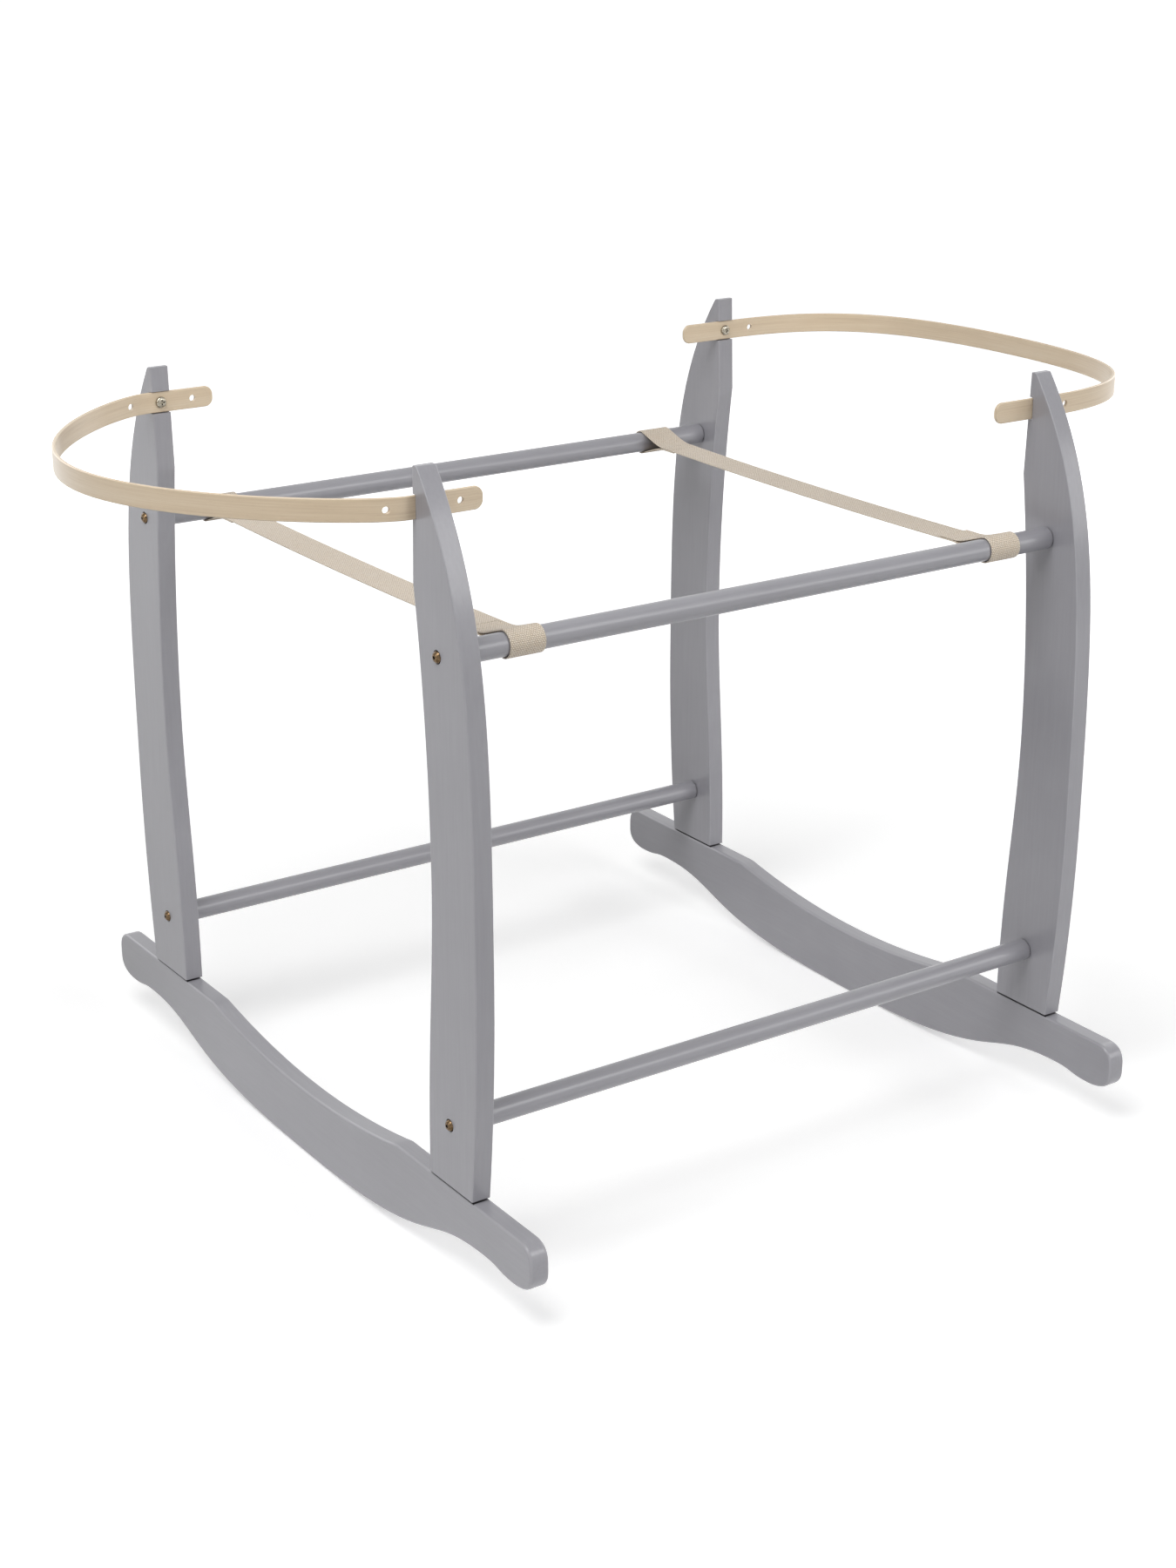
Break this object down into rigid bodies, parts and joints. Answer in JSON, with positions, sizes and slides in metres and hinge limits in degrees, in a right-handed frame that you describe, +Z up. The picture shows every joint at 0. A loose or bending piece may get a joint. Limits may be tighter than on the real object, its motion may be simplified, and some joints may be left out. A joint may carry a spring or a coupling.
{
  "type": "rocking stand for a moses basket",
  "caption": "Painted wooden rocking stand that carries a moses basket on webbing straps between bent wooden end hoops.",
  "frame": {"origin": "on the floor, in the middle of the stand", "axes": "+X runs along the rails from the left end to the right end, +Y across the stand from its front to its rear, the way it rocks, and +Z is up"},
  "size_m": [0.91, 0.698, 0.6183],
  "materials": {
    "paint": "satin grey paint on wood",
    "bent_wood": "clear lacquer on pale bent wood",
    "webbing": "woven cotton webbing",
    "brass": "brass plate, lightly aged",
    "nickel_plate": "nickel plate",
    "zinc_plate": "zinc plate",
    "beech": "bare beech"
  },
  "bodies": {
    "stand": {"rocker_left": "paint", "hoop_left": "bent_wood", "rocker_right": "paint", "hoop_right": "bent_wood", "post_front_left": "paint", "post_front_right": "paint", "post_rear_left": "paint", "post_rear_right": "paint", "rail_upper_front": "paint", "rail_upper_rear": "paint", "rail_lower_front": "paint", "rail_lower_rear": "paint", "bolt_upper_front_left": "brass", "insert_upper_front_left": "zinc_plate", "bolt_lower_front_left": "brass", "insert_lower_front_left": "zinc_plate", "screw_hoop_front_left": "nickel_plate", "dowel_inner_front_left": "beech", "dowel_outer_front_left": "beech", "bolt_upper_front_right": "brass", "insert_upper_front_right": "zinc_plate", "bolt_lower_front_right": "brass", "insert_lower_front_right": "zinc_plate", "screw_hoop_front_right": "nickel_plate", "dowel_inner_front_right": "beech", "dowel_outer_front_right": "beech", "bolt_upper_rear_left": "brass", "insert_upper_rear_left": "zinc_plate", "bolt_lower_rear_left": "brass", "insert_lower_rear_left": "zinc_plate", "screw_hoop_rear_left": "nickel_plate", "dowel_inner_rear_left": "beech", "dowel_outer_rear_left": "beech", "bolt_upper_rear_right": "brass", "insert_upper_rear_right": "zinc_plate", "bolt_lower_rear_right": "brass", "insert_lower_rear_right": "zinc_plate", "screw_hoop_rear_right": "nickel_plate", "dowel_inner_rear_right": "beech", "dowel_outer_rear_right": "beech"},
    "strap_left": {"strap_left": "webbing"},
    "strap_right": {"strap_right": "webbing"}
  },
  "joints": [
    {"name": "strap_left_slide", "type": "slide", "parent": "stand", "child": "strap_left", "axis": [1, 0, 0], "range_m": [-0.037, 0.21]},
    {"name": "strap_right_slide", "type": "slide", "parent": "stand", "child": "strap_right", "axis": [-1, 0, 0], "range_m": [-0.037, 0.21]}
  ]
}
